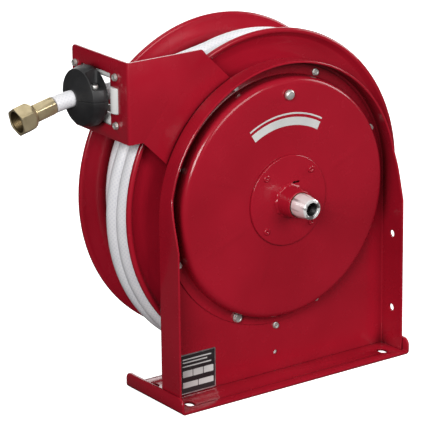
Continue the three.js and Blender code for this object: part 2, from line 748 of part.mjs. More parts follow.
function stopBody() {
  const { rearX, rimX, noseX, rearRadius, radius, rimRadius } = stop;
  const bore = hoseRadius + fitGap;
  const body = turnedAlongX([
    [bore, rearX],
    [rearRadius, rearX],
    [radius - 1.5, rearX - 5],
    [radius, rearX - 9],
    [radius - 0.8, rearX - 16],
    [rimRadius, rimX],
    [rimRadius - 12, rimX - 6],
    [bore + 3, noseX],
    [bore, noseX],
  ], 32).translate(0, guide.y, guide.z);
  const tools = [];
  for (const side of [-1, 1]) {
    const y = guide.y + side * stopScrew.y;
    tools.push(rodAlongZ(2.8, stopScrew.x, y, guide.z - 16, guide.z + 60));
    tools.push(rodAlongZ(6, stopScrew.x, y, guide.z + stopScrew.seatZ, guide.z + 60, smallSides));
  }
  return cut(body, ...tools);
}

const stopSolid = stopBody();
add('stop_upper', keep(stopSolid, box(-250, -200, 0, 120, guide.z + 0.15, 450)), rubber);
add('stop_lower', keep(stopSolid, box(-250, -200, 0, 120, 300, guide.z - 0.15)), rubber);
[-1, 1].forEach((side, i) => {
  const y = guide.y + side * stopScrew.y;
  const seatZ = guide.z + stopScrew.seatZ;
  const head = rodAlongZ(4.4, stopScrew.x, y, seatZ + fitGap, seatZ + 4, 12);
  const shank = rodAlongZ(2.4, stopScrew.x, y, guide.z - 15, seatZ + 1);
  add(`stop_screw_${i + 1}`, join(head, shank), zinc);
});

const droop = (fitting.droop * Math.PI) / 180;
add('hose_stub', swept([
  [stop.rearX, guide.y, guide.z],
  [stop.rearX - 12, guide.y, guide.z],
  [stop.rimX - 4, guide.y, guide.z],
  [stop.noseX, guide.y, guide.z],
  [stop.noseX - 9, guide.y, guide.z - 1],
  [fitting.x + 1, guide.y, fitting.z + 0.24],
], circleShape(hoseRadius), 10), whiteHose);

// The fitting is drawn along -X from the end of the hose, then drooped with it.
const fittingGroup = new THREE.Group();
fittingGroup.position.set(fitting.x, guide.y, fitting.z);
fittingGroup.rotation.y = droop;
reel.add(fittingGroup);

const nutEnd = nut.start + nut.length;
const seatX = nut.start + 5;

// Outlines along the fitting count their distance from the end of the hose.
function onFitting(outline, sides) {
  return turnedAlongX(outline.map(([r, distance]) => [r, -distance]), sides);
}
const addToFitting = (name, geometry, material) => add(name, geometry, material, fittingGroup);

const ferruleBody = onFitting([
  [0, 1],
  [ferrule.ridge - 1, 1],
  [ferrule.ridge, 3],
  [ferrule.ridge, ferrule.length - 2],
  [ferrule.ridge - 1.2, ferrule.length],
  [0, ferrule.length],
], 6);
const ferruleBore = onFitting(rodOutline(ferrule.bore, -1, nut.start), smallSides);
addToFitting('ferrule', cut(ferruleBody, ferruleBore), brass);
addToFitting('hose_stem', onFitting([
  [4, 1.5],
  [5.7, 1.5],
  [5.7, ferrule.length + 0.4],
  [6.7, ferrule.length + 0.4],
  [6.7, seatX + fitGap],
  [11.5, seatX + fitGap],
  [11.5, seatX + 2.2],
  [4, seatX + 2.2],
], smallSides), brass);
addToFitting('hose_washer', onFitting(tubeOutline(5, 12.6, seatX + 2.5, seatX + 5), smallSides), rubber);

const halfFlats = nut.flats / 2;
const nutHexagon = onFitting(rodOutline(nut.flats / Math.sqrt(3), nut.start, nutEnd), 6);
const nutChamfers = onFitting([
  [0, nut.start],
  [halfFlats - 1.5, nut.start],
  [halfFlats + 3, nut.start + 4],
  [halfFlats + 3, nutEnd - 2.4],
  [halfFlats + 0.6, nutEnd],
  [0, nutEnd],
], 24);
const nutSocket = onFitting(rodOutline(13.2, seatX, nutEnd + 5), 24);
const nutNeck = onFitting(rodOutline(7.2, nut.start - 5, seatX + 1), smallSides);
addToFitting('swivel_nut', cut(keep(nutHexagon, nutChamfers), nutSocket, nutNeck), brass);

export default reel;
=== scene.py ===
"""The looks of the spring-retracted hose reel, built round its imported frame.

Lengths are in millimetres unless a comment says otherwise. X runs to the right, Y to the rear and Z up.
"""

import json
import math
from functools import partial

import bmesh
import bpy
from mathutils import Matrix, Vector


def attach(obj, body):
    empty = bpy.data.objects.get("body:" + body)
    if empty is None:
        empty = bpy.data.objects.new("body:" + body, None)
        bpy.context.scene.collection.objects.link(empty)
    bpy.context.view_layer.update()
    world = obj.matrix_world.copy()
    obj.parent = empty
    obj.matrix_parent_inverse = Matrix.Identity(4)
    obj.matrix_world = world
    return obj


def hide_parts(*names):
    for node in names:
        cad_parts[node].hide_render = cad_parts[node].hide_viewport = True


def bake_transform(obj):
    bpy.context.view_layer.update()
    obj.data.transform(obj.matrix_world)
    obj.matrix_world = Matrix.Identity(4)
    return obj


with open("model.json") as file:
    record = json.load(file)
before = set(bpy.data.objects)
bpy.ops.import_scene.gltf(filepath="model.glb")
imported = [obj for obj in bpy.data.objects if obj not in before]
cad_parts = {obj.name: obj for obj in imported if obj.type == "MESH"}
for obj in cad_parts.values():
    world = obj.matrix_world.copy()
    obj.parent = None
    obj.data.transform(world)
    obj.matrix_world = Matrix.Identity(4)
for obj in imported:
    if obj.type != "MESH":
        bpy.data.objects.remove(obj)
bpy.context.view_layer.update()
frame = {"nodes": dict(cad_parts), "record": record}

MM = 0.001
TURN = 2 * math.pi
ROUND = 160  # steps round the large discs and the cover
FINE = 48  # steps round shafts, rollers and fittings

# ---- Sizes shared with the CAD model ------------------------------------------------------------

AXIS_Z = 230.3  # height of the spool's axis
PANEL_FRONT = -12.0  # faces of the frame's sheet
PANEL_BACK = -9.5
GAP = 0.3  # clearance between parts that lie on each other
SCREW_CIRCLE = 156.0  # the cover's screws stand on this radius
PIVOT_PLACE = 5  # the place on that circle that the latch pawl's pivot takes
RIVET_CIRCLE = 47.0
TIE_CIRCLE = 26.0
ANCHOR = (4, AXIS_Z + 130)  # x and z of the bolt that anchors the power spring
POST_Z = 62.6  # height of the pawl spring's post
GUIDE_Y = 59.55  # the hose passes the guide at this depth and height
GUIDE_Z = 376.2
BOLT_Y = 42.75  # the guide's four bolts stand this far from the hose's line
BOLT_Z = 29.1
ACROSS_X = -196.6  # axis of the rollers that lie across, above and below the hose
ACROSS_R = 7.7
UPRIGHT_X = -201.2  # axis of the upright rollers in front of and behind the hose
UPRIGHT_Y = 38.2
UPRIGHT_R = 8.8
TURNS_R = 193.0  # centre line of the loose outer turns of hose
SAG = 8.0  # how far those turns hang below the spool's axis
STOP_REAR = -207.6  # the stop's flat rear face, its front rim and the end of its nose
STOP_RIM = -231.8
STOP_NOSE = -241.4
STOP_SCREW_X = -222
STOP_SCREW_SIDE = 21
BEND_X = -190.0  # the hose runs level in the guide from here on
HOSE_R = 10.0
FITTING_START = Vector((-265.6, GUIDE_Y, 372.6))
DROOP = math.radians(13.58)  # how far the fitting hangs below level
FITTING_ALONG = Vector((-math.cos(DROOP), 0, -math.sin(DROOP)))


# ---- Shape helpers ------------------------------------------------------------------------------


def linked(name, data):
    """A new object in the scene."""
    obj = bpy.data.objects.new(name, data)
    bpy.context.scene.collection.objects.link(obj)
    return obj


def make(verts, faces):
    """A new object from millimetre points, with its normals facing out."""
    mesh = bpy.data.meshes.new("piece")
    mesh.from_pydata([tuple(c * MM for c in v) for v in verts], [], faces)
    bm = bmesh.new()
    bm.from_mesh(mesh)
    bmesh.ops.remove_doubles(bm, verts=bm.verts, dist=1e-7)
    bmesh.ops.recalc_face_normals(bm, faces=bm.faces)
    bm.to_mesh(mesh)
    bm.free()
    return linked("piece", mesh)


def on_circle(radius, degrees):
    """The x and z of a place on a circle round the spool's axis."""
    angle = math.radians(degrees)
    return radius * math.cos(angle), AXIS_Z + radius * math.sin(angle)


def ring_place(i):
    """The x and z of one of the eight places on the screw circle."""
    return on_circle(SCREW_CIRCLE, 22.5 + 45 * i)


def fillet(points, closed=True, steps=5):
    """Rounds each corner that has a third value, its radius."""
    out = []
    count = len(points)
    for i, point in enumerate(points):
        here = Vector(point[:2])
        radius = point[2] if len(point) > 2 else 0
        if not radius or (not closed and i in (0, count - 1)):
            out.append((here.x, here.y))
            continue
        before = (Vector(points[i - 1][:2]) - here).normalized()
        after = (Vector(points[(i + 1) % count][:2]) - here).normalized()
        half = before.angle(after) / 2
        centre = here + (before + after).normalized() * (radius / math.sin(half))
        start = here + before * (radius / math.tan(half)) - centre
        end = here + after * (radius / math.tan(half)) - centre
        first = math.atan2(start.y, start.x)
        sweep = (math.atan2(end.y, end.x) - first + math.pi) % TURN - math.pi
        for k in range(steps + 1):
            angle = first + sweep * k / steps
            out.append((centre.x + radius * math.cos(angle), centre.y + radius * math.sin(angle)))
    return out


def rectangle(left, right, low, high, corner):
    """A rectangle's outline with rounded corners."""
    return fillet([(left, low, corner), (right, low, corner), (right, high, corner), (left, high, corner)])


def across(direction):
    """The given direction and two that are square to it and to each other."""
    d = Vector(direction).normalized()
    helper = Vector((0, 0, 1)) if abs(d.z) < 0.9 else Vector((1, 0, 0))
    u = (helper - d * helper.dot(d)).normalized()
    return d, u, d.cross(u)


def lathe(outline, centre=(0, 0, AXIS_Z), along=(0, 1, 0), steps=ROUND):
    """A body of revolution. The outline is [(radius, distance)], closed, or open with both ends on the axis.

    A radius may be a function of the angle.
    """
    d, u, v = across(along)
    origin = Vector(centre)
    verts = []
    rings = []
    for radius, distance in outline:
        if not callable(radius) and radius == 0:
            rings.append([len(verts)] * steps)
            verts.append(origin + d * distance)
            continue
        rings.append(list(range(len(verts), len(verts) + steps)))
        for k in range(steps):
            angle = TURN * k / steps
            reach = radius(angle) if callable(radius) else radius
            verts.append(origin + d * distance + (u * math.cos(angle) + v * math.sin(angle)) * reach)
    on_axis = not callable(outline[0][0]) and outline[0][0] == 0
    pairs = list(zip(rings, rings[1:]))
    if not on_axis:
        pairs.append((rings[-1], rings[0]))
    faces = []
    for a, b in pairs:
        for k in range(steps):
            corners = [a[k], a[(k + 1) % steps], b[(k + 1) % steps], b[k]]
            kept = [c for i, c in enumerate(corners) if c != corners[i - 1]]
            if len(kept) > 2:
                faces.append(kept)
    return make(verts, faces)


def rod(radius, centre, along, low, high, steps=32):
    """A plain cylinder from low to high along its axis."""
    return lathe([(0, low), (radius, low), (radius, high), (0, high)], centre, along, steps)


def prism(outline, low, high, plane):
    """An outline drawn in two axes, from low to high along the third."""
    place = {
        "xz": lambda a, b, h: (a, h, b),
        "yz": lambda a, b, h: (h, a, b),
        "xy": lambda a, b, h: (a, b, h),
    }[plane]
    count = len(outline)
    verts = [place(a, b, low) for a, b in outline] + [place(a, b, high) for a, b in outline]
    faces = [list(range(count)), list(range(count, 2 * count))]
    for i in range(count):
        j = (i + 1) % count
        faces.append([i, j, count + j, count + i])
    return make(verts, faces)


def settle(obj):
    """Applies an object's modifiers."""
    depsgraph = bpy.context.evaluated_depsgraph_get()
    mesh = bpy.data.meshes.new_from_object(obj.evaluated_get(depsgraph))
    obj.modifiers.clear()
    old = obj.data
    obj.data = mesh
    bpy.data.meshes.remove(old)
    return obj


def gathered(objs):
    """Several meshes as one object."""
    bm = bmesh.new()
    for obj in objs:
        bm.from_mesh(obj.data)
        bpy.data.objects.remove(obj)
    mesh = bpy.data.meshes.new("piece")
    bm.to_mesh(mesh)
    bm.free()
    return linked("piece", mesh)


def carve(obj, tools, operation="DIFFERENCE"):
    """Cuts the tools out of an object, or keeps only what is inside them."""
    tool = gathered(tools)
    modifier = obj.modifiers.new("carve", "BOOLEAN")
    modifier.operation = operation
    modifier.solver = "EXACT"
    modifier.object = tool
    settle(obj)
    bpy.data.objects.remove(tool)
    return obj


def soften(obj, width, segments, angle):
    """Rounds the edges that turn by more than the angle."""
    modifier = obj.modifiers.new("edges", "BEVEL")
    modifier.width = width * MM
    modifier.segments = segments
    modifier.limit_method = "ANGLE"
    modifier.angle_limit = math.radians(angle)
    modifier.use_clamp_overlap = True
    return settle(obj)


def tube(points, radius, closed=False, sides=28, radii=None):
    """A round tube along points, with u round it and v along it in hose diameters.

    A closed tube is a ring that lies flat round the y axis. radii can give each point its own radius.
    """
    path = [Vector(p) for p in points]
    count = len(path)
    tangents = []
    for i in range(count):
        after = path[(i + 1) % count] if closed or i < count - 1 else path[i]
        before = path[i - 1] if closed or i > 0 else path[i]
        tangents.append((after - before).normalized())
    normal = Vector((0, 1, 0)) if closed else across(tangents[0])[1]
    verts = []
    lengths = [0.0]
    for i in range(count):
        normal = (normal - tangents[i] * normal.dot(tangents[i])).normalized()
        side = tangents[i].cross(normal)
        reach = radii[i] if radii else radius
        for k in range(sides):
            angle = TURN * k / sides
            verts.append(path[i] + (normal * math.cos(angle) + side * math.sin(angle)) * reach)
        if i < count - 1:
            lengths.append(lengths[-1] + (path[i + 1] - path[i]).length)
    lengths.append(lengths[-1] + (path[0] - path[-1]).length)
    faces = []
    coords = []
    spans = count if closed else count - 1
    for i in range(spans):
        j = (i + 1) % count
        for k in range(sides):
            m = (k + 1) % sides
            faces.append([i * sides + k, i * sides + m, j * sides + m, j * sides + k])
            low, high = lengths[i] / (2 * radius), lengths[i + 1] / (2 * radius)
            u0, u1 = k / sides, (k + 1) / sides
            coords.append([(u0, low), (u1, low), (u1, high), (u0, high)])
    if not closed:
        faces.append(list(range(sides))[::-1])
        coords.append([(0, 0)] * sides)
        faces.append([spans * sides + k for k in range(sides)])
        coords.append([(0, 0)] * sides)
    mesh = bpy.data.meshes.new("piece")
    mesh.from_pydata([tuple(c * MM for c in v) for v in verts], [], faces)
    layer = mesh.uv_layers.new(name="hose")
    for polygon, corners in zip(mesh.polygons, coords):
        for loop, corner in zip(polygon.loop_indices, corners):
            layer.data[loop].uv = corner
    if inside_out(mesh):
        mesh.flip_normals()
    return linked("piece", mesh)


def inside_out(mesh):
    """Whether a closed mesh's faces point inward, by the sign of its volume."""
    volume = 0.0
    for polygon in mesh.polygons:
        a = mesh.vertices[polygon.vertices[0]].co
        for i in range(1, len(polygon.vertices) - 1):
            b = mesh.vertices[polygon.vertices[i]].co
            c = mesh.vertices[polygon.vertices[i + 1]].co
            volume += a.dot(b.cross(c))
    return volume < 0


def smooth_path(points, steps):
    """A Catmull-Rom curve through the points."""
    pts = [Vector(p) for p in points]
    pts = [2 * pts[0] - pts[1]] + pts + [2 * pts[-1] - pts[-2]]
    out = []
    for i in range(1, len(pts) - 2):
        for k in range(steps):
            t = k / steps
            a, b, c, d = pts[i - 1 : i + 3]
            square = (2 * a - 5 * b + 4 * c - d) * t * t
            cube = (3 * b - a - 3 * c + d) * t**3
            out.append(0.5 * ((2 * b) + (c - a) * t + square + cube))
    out.append(pts[-2])
    return out


def dress(obj, name, material, sharp):
    """Names a finished mesh, and gives it its material and its shading."""
    obj.name = name
    obj.data.name = name
    obj.data.materials.clear()
    obj.data.materials.append(material)
    obj.data.shade_smooth()
    obj.data.set_sharp_from_angle(angle=math.radians(sharp))


def piece(obj, name, body, material, *nodes, sharp=40):
    """Dresses a mesh and makes it ride on its body, in place of CAD nodes if any are given."""
    dress(obj, name, material, sharp)
    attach(obj, body)
    if nodes:
        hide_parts(*nodes)
    return obj


# ---- Materials ----------------------------------------------------------------------------------


class Nodes:
    """A small wrapper that adds and links shader nodes."""

    def __init__(self, name, slot):
        self.material = bpy.data.materials.new(name)
        self.material.use_nodes = True
        self.material["slot"] = slot
        self.tree = self.material.node_tree
        self.shader = self.tree.nodes["Principled BSDF"]

    def set(self, **values):
        for key, value in values.items():
            self.shader.inputs[key.replace("_", " ")].default_value = value

    def add(self, kind, **settings):
        node = self.tree.nodes.new(kind)
        for key, value in settings.items():
            if hasattr(node, key):
                setattr(node, key, value)
            else:
                node.inputs[key.replace("_", " ")].default_value = value
        return node

    def link(self, source, target):
        self.tree.links.new(source, target)

    def coords(self, kind="Object"):
        return self.add("ShaderNodeTexCoord").outputs[kind]

    def noise(self, scale, detail, stretch=None):
        place = self.coords()
        if stretch:
            mapping = self.add("ShaderNodeMapping")
            mapping.inputs["Scale"].default_value = stretch
            self.link(place, mapping.inputs["Vector"])
            place = mapping.outputs["Vector"]
        node = self.add("ShaderNodeTexNoise", Scale=scale, Detail=detail)
        self.link(place, node.inputs["Vector"])
        return node.outputs["Fac"]

    def spread(self, value, low, high, to_low=0.0, to_high=1.0):
        node = self.add("ShaderNodeMapRange")
        node.inputs["From Min"].default_value = low
        node.inputs["From Max"].default_value = high
        node.inputs["To Min"].default_value = to_low
        node.inputs["To Max"].default_value = to_high
        self.link(value, node.inputs["Value"])
        return node.outputs["Result"]

    def math(self, operation, a, b=0.0):
        node = self.add("ShaderNodeMath", operation=operation)
        for socket, value in zip(node.inputs, (a, b)):
            if hasattr(value, "links"):
                self.link(value, socket)
            else:
                socket.default_value = value
        return node.outputs[0]

    def mixed(self, factor, a, b):
        node = self.add("ShaderNodeMix", data_type="RGBA")
        self.link(factor, node.inputs[0])
        for socket, value in ((node.inputs[6], a), (node.inputs[7], b)):
            if hasattr(value, "links"):
                self.link(value, socket)
            else:
                socket.default_value = (*value, 1)
        return node.outputs[2]

    def shaded(self, source, shade_colour):
        """The colour, falling off to a dark shade colour in narrow recesses and corners: painted shade from
        an ambient occlusion mask.
        """
        node = self.add("ShaderNodeAmbientOcclusion", samples=8)
        node.inputs["Distance"].default_value = 0.03
        return self.mixed(self.spread(node.outputs["AO"], 0.22, 0.6), shade_colour, source)

    def colour(self, source):
        self.link(source, self.shader.inputs["Base Color"])

    def rough(self, source):
        self.link(source, self.shader.inputs["Roughness"])

    def bump(self, height, strength, distance):
        node = self.add("ShaderNodeBump")
        node.inputs["Strength"].default_value = strength
        node.inputs["Distance"].default_value = distance
        self.link(height, node.inputs["Height"])
        self.link(node.outputs["Normal"], self.shader.inputs["Normal"])


def paint(name, slot, dark, light):
    """Glossy enamel with a faint orange peel, slow changes of depth, and painted shade in recesses and
    corners.
    """
    m = Nodes(name, slot)
    enamel = m.mixed(m.spread(m.noise(9.0, 2.0), 0.35, 0.65), dark, light)
    # Painted shade: the enamel darkens to a deep brown-red where parts close in round it.
    m.colour(m.shaded(enamel, (0.06, 0.003, 0.004)))
    m.rough(m.spread(m.noise(40.0, 3.0), 0.3, 0.7, 0.2, 0.3))
    m.bump(m.noise(420.0, 2.0), 0.06, 0.0004)
    m.set(Coat_Weight=0.35, Coat_Roughness=0.1, Coat_IOR=1.45, IOR=1.42)
    m.shader.inputs["Specular IOR Level"].default_value = 0.3
    return m.material


def metal(name, slot, dark, light, rough, grain=(1, 1, 1), bump=0.05, metallic=1.0):
    """Cloudy metal with a fine grain, which can be stretched along an axis."""
    grain_scale = 300.0
    m = Nodes(name, slot)
    m.colour(m.mixed(m.spread(m.noise(60.0, 3.0), 0.3, 0.7), dark, light))
    m.rough(m.spread(m.noise(grain_scale, 3.0, grain), 0.3, 0.7, rough * 0.8, rough * 1.25))
    m.bump(m.noise(grain_scale * 2, 2.0, grain), bump, 0.0003)
    m.set(Metallic=metallic)
    return m.material


def streaked(name, slot, dark, light, rough):
    """Polished steel with dark and bright streaks painted along its axis: painted reflections of its
    surroundings.
    """
    m = Nodes(name, slot)
    m.colour(m.mixed(m.spread(m.noise(150.0, 1.0, (1, 0.04, 1)), 0.38, 0.5), dark, light))
    m.rough(m.spread(m.noise(300.0, 3.0), 0.3, 0.7, rough * 0.8, rough * 1.25))
    m.set(Metallic=0.35)
    return m.material


def braided(name, slot):
    """A white hose with a fine diagonal braid under a thin clear jacket."""
    m = Nodes(name, slot)
    split = m.add("ShaderNodeSeparateXYZ")
    m.link(m.coords("UV"), split.inputs["Vector"])
    around = m.math("MULTIPLY", split.outputs["X"], 12 * TURN)
    along = m.math("MULTIPLY", split.outputs["Y"], 3.8 * TURN)
    one = m.math("SINE", m.math("ADD", around, along))
    two = m.math("SINE", m.math("SUBTRACT", around, along))
    weave = m.math("MAXIMUM", one, two)
    cloud = m.noise(45.0, 3.0)
    tone = m.math("ADD", m.spread(weave, -0.6, 1.0, 0.0, 0.7), m.spread(cloud, 0.3, 0.7, -0.15, 0.25))
    m.colour(m.mixed(tone, (0.72, 0.72, 0.76), (0.86, 0.85, 0.86)))
    m.rough(m.spread(cloud, 0.3, 0.7, 0.4, 0.55))
    m.bump(weave, 0.12, 0.0004)
    m.set(Coat_Weight=0.2, Coat_Roughness=0.2)
    return m.material


def plastic(name, slot, dark, light, rough, scale, bump):
    """Plastic, rubber or ink with a fine moulded texture."""
    m = Nodes(name, slot)
    m.colour(m.mixed(m.spread(m.noise(scale * 0.2, 3.0), 0.3, 0.7), dark, light))
    m.rough(m.spread(m.noise(scale, 3.0), 0.3, 0.7, rough * 0.85, rough * 1.15))
    m.bump(m.noise(scale * 3, 2.0), bump, 0.0004)
    return m.material


RED = paint("red_enamel", "red_paint", (0.31, 0.006, 0.017), (0.37, 0.008, 0.022))
ZINC = metal("zinc_plate", "zinc", (0.58, 0.57, 0.54), (0.78, 0.77, 0.74), 0.4, metallic=0.75)
STEEL = metal(
    "turned_steel", "steel", (0.78, 0.77, 0.75), (0.92, 0.91, 0.89), 0.3,
    grain=(1, 9, 1), bump=0.0, metallic=0.7,
)
BLUED = metal("blued_steel", "spring_steel", (0.045, 0.05, 0.06), (0.09, 0.1, 0.12), 0.35)
BRASS = metal("brass", "brass", (0.58, 0.47, 0.27), (0.76, 0.64, 0.40), 0.34, bump=0.015, metallic=0.8)
# Painted shade: brass darkened for the shade inside the swivel nut's mouth.
BRASS_IN_PAINTED_SHADE = metal("brass_thread", "brass", (0.10, 0.07, 0.035), (0.16, 0.12, 0.06), 0.45, bump=0.02)
# Painted reflections: the inlet's streaks stand for what its polished face mirrors.
POLISHED = streaked("polished_steel", "steel", (0.16, 0.14, 0.14), (0.93, 0.92, 0.91), 0.2)
# Painted shade: steel darkened nearly to black for the shade inside the inlet's bore.
STEEL_IN_PAINTED_SHADE = metal("steel_bore", "steel", (0.02, 0.02, 0.02), (0.05, 0.05, 0.05), 0.5, bump=0.02)
BRONZE = metal("bronze", "bronze", (0.32, 0.18, 0.08), (0.42, 0.25, 0.12), 0.45)
HOSE = braided("braided_hose", "hose")
NYLON = plastic("white_nylon", "nylon", (0.74, 0.74, 0.73), (0.84, 0.84, 0.82), 0.42, 200.0, 0.05)
RUBBER = plastic(
    "black_rubber", "black_rubber", (0.010, 0.010, 0.011), (0.022, 0.022, 0.023), 0.46, 260.0, 0.12
)
SILVER = metal("plate_silver", "plate", (0.55, 0.55, 0.56), (0.68, 0.68, 0.69), 0.4)
DARK_INK = plastic("plate_ink", "plate", (0.012, 0.010, 0.012), (0.022, 0.018, 0.02), 0.42, 200.0, 0.02)
SILVER_INK = plastic("stripe_ink", "plate", (0.52, 0.53, 0.52), (0.66, 0.66, 0.64), 0.35, 150.0, 0.02)

CAD_FINISHES = (RED, ZINC, STEEL, BLUED, BRASS, BRONZE, HOSE, NYLON, RUBBER, SILVER)
finish_of_slot = {material["slot"]: material for material in CAD_FINISHES}
for entry in frame["record"]["subparts"]:
    node = frame["nodes"][entry["node"]]
    node.data.materials.clear()
    node.data.materials.append(finish_of_slot[entry["material_slot"]])

# ---- Camera -------------------------------------------------------------------------------------


CAMERA_DEGREES = (-35.17, 17.98, -0.68)  # azimuth, elevation and roll
CAMERA_METRES = (-1.8695, -2.5362, 1.2284)
LENS = 229.9
SENSOR = 36


def place_camera():
    """The main view: from the front left, a little above, with a slight roll."""
    azimuth, elevation, roll = (math.radians(v) for v in CAMERA_DEGREES)
    back = Vector((
        math.sin(azimuth) * math.cos(elevation),
        -math.cos(azimuth) * math.cos(elevation),
        math.sin(elevation),
    ))
    level = Vector((math.cos(azimuth), math.sin(azimuth), 0))
    upward = back.cross(level)
    right = level * math.cos(roll) + upward * math.sin(roll)
    up = upward * math.cos(roll) - level * math.sin(roll)
    data = bpy.data.cameras.new("camera")
    data.sensor_width = SENSOR
    data.lens = LENS
    data.clip_end = 50
    camera = linked("camera", data)
    turn = Matrix((right, up, back)).transposed().to_4x4()
    camera.matrix_world = Matrix.Translation(CAMERA_METRES) @ turn
    bpy.context.scene.camera = camera


place_camera()

# ---- Base and frame -----------------------------------------------------------------------------


def base_plate():
    """A channel with two upturned ends, whose upper corners are rounded, and four slots."""
    half, depth, lip, sheet = 173, 60, 20, 3
    section = fillet([
        (-half, lip), (-half, 0, 4.2), (half, 0, 4.2), (half, lip),
        (half - sheet, lip), (half - sheet, sheet, 1.5), (-half + sheet, sheet, 1.5), (-half + sheet, lip),
    ])
    body = prism(section, -depth, depth, "xz")
    round_corner, corner_steps = 9, 8
    slot_x, slot_y, slot_wide, slot_long = 147.5, 38, 5.5, 8
    tools = []
    for side in (-1, 1):
        edge = side * depth
        corner = [(edge + side, lip + 1), (edge - side * round_corner, lip + 1)]
        for k in range(corner_steps + 1):
            angle = math.radians(90 - 90 * k / corner_steps)
            out = round_corner * math.cos(angle) - round_corner
            corner.append((edge + side * out, lip - round_corner + round_corner * math.sin(angle)))
        corner.append((edge + side, lip - round_corner))
        tools.append(prism(corner, -half - 2, half + 2, "yz"))
        y = side * slot_y
        for x in (-slot_x, slot_x):
            slot = rectangle(x - slot_wide, x + slot_wide, y - slot_long, y + slot_long, 5.49)
            tools.append(prism(slot, -2, 6, "xy"))
    carve(body, tools)
    return soften(body, 0.5, 2, 38)


TAPER_LOW, TAPER_HIGH = 200, 262  # the flange gets narrower between these heights
FLANGE_WIDE, FLANGE_NARROW = -50.8, -35.1


def flange_edge(z):
    """How far forward the frame's flange reaches at a height."""
    if z <= TAPER_LOW:
        return FLANGE_WIDE
    if z >= TAPER_HIGH:
        return FLANGE_NARROW
    return FLANGE_WIDE + (z - TAPER_LOW) * (FLANGE_NARROW - FLANGE_WIDE) / (TAPER_HIGH - TAPER_LOW)


def ring_holes(low, high):
    """Cutting rods for the eight holes on the screw circle."""
    holes = []
    for i in range(8):
        x, z = ring_place(i)
        holes.append(rod(4.4 if i == PIVOT_PLACE else 2.9, (x, 0, z), (0, 1, 0), low, high, 24))
    return holes


def upright_frame():
    """The arched panel with its folded flange, swept round the arch as one ring of sections."""
    half, sheet, bend = 169.6, 2.5, 4.0
    outline = [(-half, z, -1.0, 0.0) for z in (3.3, 60, 120, 180, 200, 215)]
    arch_steps = 72
    angles = [math.pi - math.pi * k / arch_steps for k in range(arch_steps + 1)]
    crease = math.asin((TAPER_HIGH - AXIS_Z) / half)
    angles = sorted(angles + [crease, math.pi - crease], reverse=True)
    for angle in angles:
        c, s = math.cos(angle), math.sin(angle)
        outline.append((half * c, AXIS_Z + half * s, c, s))
    outline += [(half, z, 1.0, 0.0) for z in (215, 200, 180, 120, 60, 3.3)]
    verts = []
    rings = []
    for x, z, nx, nz in outline:
        edge = flange_edge(z)
        section = [(bend, PANEL_FRONT)]
        for k in range(1, 5):
            angle = math.radians(90 * k / 5)
            inner = bend - sheet
            section.append((bend - inner * math.sin(angle), PANEL_BACK - bend + inner * math.cos(angle)))
        section += [(sheet, PANEL_BACK - bend), (sheet, edge + 0.5), (sheet - 0.5, edge), (0.5, edge)]
        section += [(0, edge + 0.5), (0, PANEL_BACK - bend)]
        for k in range(1, 7):
            angle = math.radians(90 * (1 - k / 7))
            section.append((bend - bend * math.sin(angle), PANEL_BACK - bend + bend * math.cos(angle)))
        section.append((bend, PANEL_BACK))
        ring = []
        for inset, y in section:
            ring.append(len(verts))
            verts.append((x - nx * inset, y, z - nz * inset))
        rings.append(ring)
    faces = []
    for a, b in zip(rings, rings[1:]):
        for k in range(len(a) - 1):
            faces.append([a[k], a[k + 1], b[k + 1], b[k]])
    faces.append([r[0] for r in rings])
    faces.append([r[-1] for r in rings])
    faces.append(rings[0])
    faces.append(rings[-1])
    faces.append([rings[0][0], rings[0][-1], rings[-1][-1], rings[-1][0]])
    body = make(verts, faces)
    flange_hole_y, flange_hole_heights, spare_hole_z = -31, (54.9, 152.4), 27.4
    tools = [rod(4.5, (0, flange_hole_y, z), (1, 0, 0), 100, 200, 32) for z in flange_hole_heights]
    tools += ring_holes(-20, 0)
    tools.append(rod(20.4, (0, 0, AXIS_Z), (0, 1, 0), -20, 0, 48))
    tools.append(rod(2.9, (0, 0, POST_Z), (0, 1, 0), -20, 0, 24))
    tools.append(rod(3, (0, 0, spare_hole_z), (0, 1, 0), -20, 0, 32))
    return carve(body, tools)


piece(base_plate(), "base_plate_formed", "frame", RED, "base_plate")
piece(upright_frame(), "upright_frame_formed", "frame", RED, "upright_frame", sharp=30)

# ---- Spring cover and hub -----------------------------------------------------------------------

COVER_RADIUS, COVER_FACE, HUB_EDGE, HUB_FACE = 150.0, -34.0, 58.0, -37.3


def cover_face_y(radius):
    """The outer face of the cover at a radius."""
    share = min(max((COVER_RADIUS - radius) / (COVER_RADIUS - HUB_EDGE), 0), 1)
    return COVER_FACE + (HUB_FACE - COVER_FACE) * share


def press_ribs(body):
    """Raises faint radial creases in the cover's face, but for the two that would run under the stripes."""
    for vertex in body.data.vertices:
        x, y, z = (c / MM for c in vertex.co)
        radius = math.hypot(x, z - AXIS_Z)
        degrees = math.degrees(math.atan2(z - AXIS_Z, x))
        off_line = abs((degrees % 45) - 22.5)
        if 70 < radius < 126 and y < -33.5 and off_line < 1 and not 45 < degrees < 135:
            vertex.co.y -= 0.45 * MM


def spring_cover():
    """The dished cover with its flange, its screw holes and the hole for the anchor bolt."""
    back = PANEL_FRONT - GAP
    t = 1.5
    outline = fillet([
        (163, back), (163, back - t, 0.5), (COVER_RADIUS, back - t, 2.0), (COVER_RADIUS, COVER_FACE, 8.5),
        *((r, cover_face_y(r)) for r in (132, 122, 98, 74, 66)),
        (HUB_EDGE, HUB_FACE), (24, HUB_FACE), (24, HUB_FACE + t), (HUB_EDGE, HUB_FACE + t),
        (COVER_RADIUS - t, COVER_FACE + t, 7.0), (COVER_RADIUS - t, back - 0.2, 0.6),
    ], steps=8)
    body = lathe(outline)
    press_ribs(body)
    tools = ring_holes(-20, -5)
    tools.append(rod(5.3, (ANCHOR[0], 0, ANCHOR[1]), (0, 1, 0), -50, -20, 24))
    return carve(body, tools)


